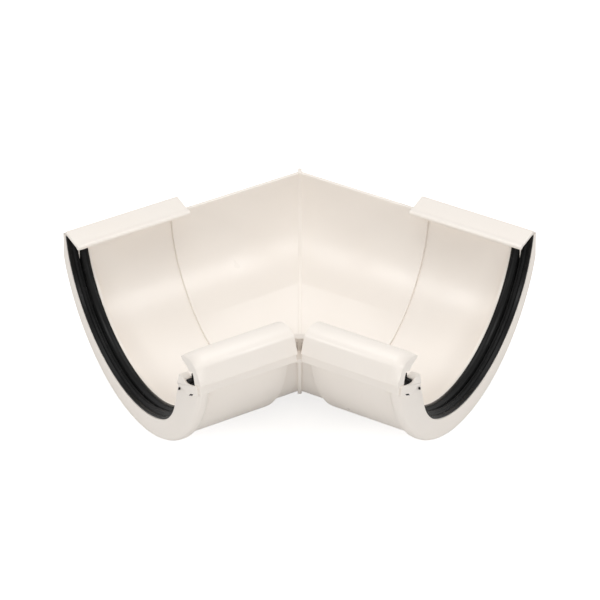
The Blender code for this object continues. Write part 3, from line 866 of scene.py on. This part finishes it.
def spread(nodes, links, source, low, high):
    """Map a noise value from 0 to 1 to the range low to high."""
    ramp = nodes.new("ShaderNodeMapRange")
    ramp.inputs["To Min"].default_value = low
    ramp.inputs["To Max"].default_value = high
    links.new(source, ramp.inputs["Value"])
    return ramp.outputs["Result"]


def tint(nodes, links, factor, first, second):
    """Blend two colours by a factor: first x (1 - factor) + second x factor."""
    mix = nodes.new("ShaderNodeMix")
    mix.data_type = "RGBA"
    mix.inputs["A"].default_value = (*first, 1.0)
    mix.inputs["B"].default_value = (*second, 1.0)
    links.new(factor, mix.inputs["Factor"])
    return mix.outputs["Result"]


def add_bump(nodes, links, shader, height, strength, distance):
    """Tilt the shading by the slope of a height value."""
    bump = nodes.new("ShaderNodeBump")
    bump.inputs["Strength"].default_value = strength
    bump.inputs["Distance"].default_value = distance
    links.new(height, bump.inputs["Height"])
    links.new(bump.outputs["Normal"], shader.inputs["Normal"])


# %% Cream PVC
CREAM = (0.89, 0.838, 0.78)
CREAM_WARM = (0.88, 0.818, 0.75)
pvc, nodes, links, shader = start_material("cream_pvc_fine", CREAM, roughness=0.3)
shader.inputs["IOR"].default_value = 1.52
broad = noise(nodes, links, scale=28.0, detail=2.0)
warmth = spread(nodes, links, broad, low=0.0, high=1.0)
links.new(tint(nodes, links, warmth, CREAM, CREAM_WARM), shader.inputs["Base Color"])
flow = noise(nodes, links, scale=60.0, detail=3.0)
links.new(spread(nodes, links, flow, low=0.22, high=0.42), shader.inputs["Roughness"])
ripple = noise(nodes, links, scale=420.0, detail=2.0)
add_bump(nodes, links, shader, ripple, strength=0.05, distance=0.0004)
print(pvc.name, len(nodes), "nodes")

# %% Black rubber
RUBBER = (0.003, 0.003, 0.003)
RUBBER_DUSTY = (0.010, 0.010, 0.010)
rubber, nodes, links, shader = start_material("black_rubber_fine", RUBBER, roughness=0.5)
shader.inputs["Specular IOR Level"].default_value = 0.12
dust = noise(nodes, links, scale=220.0, detail=4.0)
paleness = spread(nodes, links, dust, low=0.0, high=1.0)
links.new(tint(nodes, links, paleness, RUBBER, RUBBER_DUSTY), shader.inputs["Base Color"])
links.new(spread(nodes, links, dust, low=0.18, high=0.32), shader.inputs["Roughness"])
grain = noise(nodes, links, scale=2400.0, detail=2.0)
add_bump(nodes, links, shader, grain, strength=0.25, distance=0.0002)
print(rubber.name, len(nodes), "nodes")

# %% [markdown]
# ## Joining the pieces to the solid model
#
# Nothing on this fitting moves, so every piece rides on the one body. The solids that the pieces
# stand for are hidden, because they would otherwise show through, and each piece gets its
# finish.

# %% Put the pieces on the frame
for piece in (trough, sockets, collars, clips, hoods, plates, rib):
    piece.data.materials.append(pvc)
    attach(piece, "root")
    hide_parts("gutter_angle_body")
for side, node in ((1, "seal_right"), (-1, "seal_left")):
    seals[side].data.materials.append(rubber)
    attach(seals[side], "root")
    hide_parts(node)
print("solid nodes that the pieces stand for", len(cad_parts))

# %% [markdown]
# ## Floor, light and camera
#
# The photograph is a catalogue picture on white. A stronger light would whiten the floor but
# bleach the cream as well. Instead the floor adds white for the camera alone and still takes the
# object's shadow, and the world shows white to the camera and in reflections. The lamps stay at a
# plain level, so the cream shows as it is written.

# %% Floor
FLOOR_HALF = 3.0
FLOOR_DROP = 0.0002
FLOOR_GLOW = (0.68, 0.68, 0.68, 1.0)
floor_mesh = bpy.data.meshes.new("floor")
corners = FLOOR_HALF * np.array([[-1, -1], [1, -1], [1, 1], [-1, 1]], float)
floor_mesh.from_pydata(np.column_stack([corners, np.full(4, -FLOOR_DROP)]).tolist(), [],
                       [(0, 1, 2, 3)])
floor = bpy.data.objects.new("floor", floor_mesh)
bpy.context.scene.collection.objects.link(floor)
print("floor", 2 * FLOOR_HALF, "m wide")

# %% Floor finish
PALE = (0.8, 0.8, 0.8)
white_floor, nodes, links, shader = start_material("white_floor", PALE, roughness=0.9)
shader.inputs["Specular IOR Level"].default_value = 0.0
rays = nodes.new("ShaderNodeLightPath")
both = nodes.new("ShaderNodeAddShader")
glow = nodes.new("ShaderNodeEmission")
glow.inputs["Color"].default_value = FLOOR_GLOW
links.new(rays.outputs["Is Camera Ray"], glow.inputs["Strength"])
links.new(shader.outputs["BSDF"], both.inputs[0])
links.new(glow.outputs["Emission"], both.inputs[1])
links.new(both.outputs["Shader"], nodes["Material Output"].inputs["Surface"])
floor_mesh.materials.append(white_floor)
print(white_floor.name, len(nodes), "nodes")

# %% World
WORLD_LIGHT = 0.52
world = bpy.data.worlds.new("studio")
world.use_nodes = True
bpy.context.scene.world = world
nodes, links = world.node_tree.nodes, world.node_tree.links
light = nodes["Background"]
light.inputs["Color"].default_value = (1.0, 0.99, 0.98, 1.0)
light.inputs["Strength"].default_value = WORLD_LIGHT
white = nodes.new("ShaderNodeBackground")
white.inputs["Color"].default_value = (1.0, 1.0, 1.0, 1.0)
white.inputs["Strength"].default_value = 1.0
rays = nodes.new("ShaderNodeLightPath")
seen = rays.outputs["Is Camera Ray"]
for ray in ("Is Glossy Ray", "Is Transmission Ray"):
    larger = nodes.new("ShaderNodeMath")
    larger.operation = "MAXIMUM"
    links.new(seen, larger.inputs[0])
    links.new(rays.outputs[ray], larger.inputs[1])
    seen = larger.outputs["Value"]
chosen = nodes.new("ShaderNodeMixShader")
links.new(seen, chosen.inputs["Fac"])
links.new(light.outputs["Background"], chosen.inputs[1])
links.new(white.outputs["Background"], chosen.inputs[2])
links.new(chosen.outputs["Shader"], nodes["World Output"].inputs["Surface"])
print(world.name, len(nodes), "nodes")


# %% Lamps
def softbox(name, place, target, size, power):
    """A square area lamp at a place, turned to face a target."""
    data = bpy.data.lights.new(name, "AREA")
    data.shape = "SQUARE"
    data.size = size
    data.energy = power
    lamp = bpy.data.objects.new(name, data)
    bpy.context.scene.collection.objects.link(lamp)
    lamp.location = place
    aim = mathutils.Vector(target) - mathutils.Vector(place)
    lamp.rotation_mode = "QUATERNION"
    lamp.rotation_quaternion = aim.to_track_quat("-Z", "Y")
    print(name, power, "W")


MID_HEIGHT = (0.0, 0.0, 0.03)
softbox("top_softbox", (0.0, 0.10, 1.1), (0.0, 0.0, 0.0), size=0.9, power=4.5)
softbox("left_softbox", (-0.9, -0.6, 0.7), MID_HEIGHT, size=0.3, power=2.3)
softbox("right_softbox", (0.9, -0.6, 0.7), MID_HEIGHT, size=0.3, power=2.3)
softbox("front_softbox", (0.0, -1.2, 0.35), MID_HEIGHT, size=0.7, power=1.8)

# %% Camera
CAMERA_DISTANCE = 1.5
ELEVATION = math.radians(35.5)
AZIMUTH = math.radians(-0.2)
ROLL = math.radians(-0.2)
LENS = 197.64
AIM_RIGHT = 0.0001
AIM_BELOW_MOUTH = 0.0376
target = np.array([AIM_RIGHT, SHIFT_Y, SHIFT_Z - AIM_BELOW_MOUTH])
level = math.cos(ELEVATION)
forward = np.array([math.sin(AZIMUTH) * level, math.cos(AZIMUTH) * level, -math.sin(ELEVATION)])
right = np.array([math.cos(AZIMUTH), -math.sin(AZIMUTH), 0.0])
up = np.cross(right, forward)
rolled_right = right * math.cos(ROLL) + up * math.sin(ROLL)
rolled_up = -right * math.sin(ROLL) + up * math.cos(ROLL)
camera_data = bpy.data.cameras.new("camera")
camera_data.sensor_width = 36.0
camera_data.lens = LENS
camera_data.clip_start = 0.05
camera_data.clip_end = 20.0
camera = bpy.data.objects.new("camera", camera_data)
bpy.context.scene.collection.objects.link(camera)
place = np.column_stack([rolled_right, rolled_up, -forward, target - forward * CAMERA_DISTANCE])
camera.matrix_world = mathutils.Matrix(np.vstack([place, [0.0, 0.0, 0.0, 1.0]]).tolist())
bpy.context.scene.camera = camera
bpy.context.scene.view_settings.view_transform = "Standard"
print("camera at", [round(float(v), 3) for v in place[:, 3]])
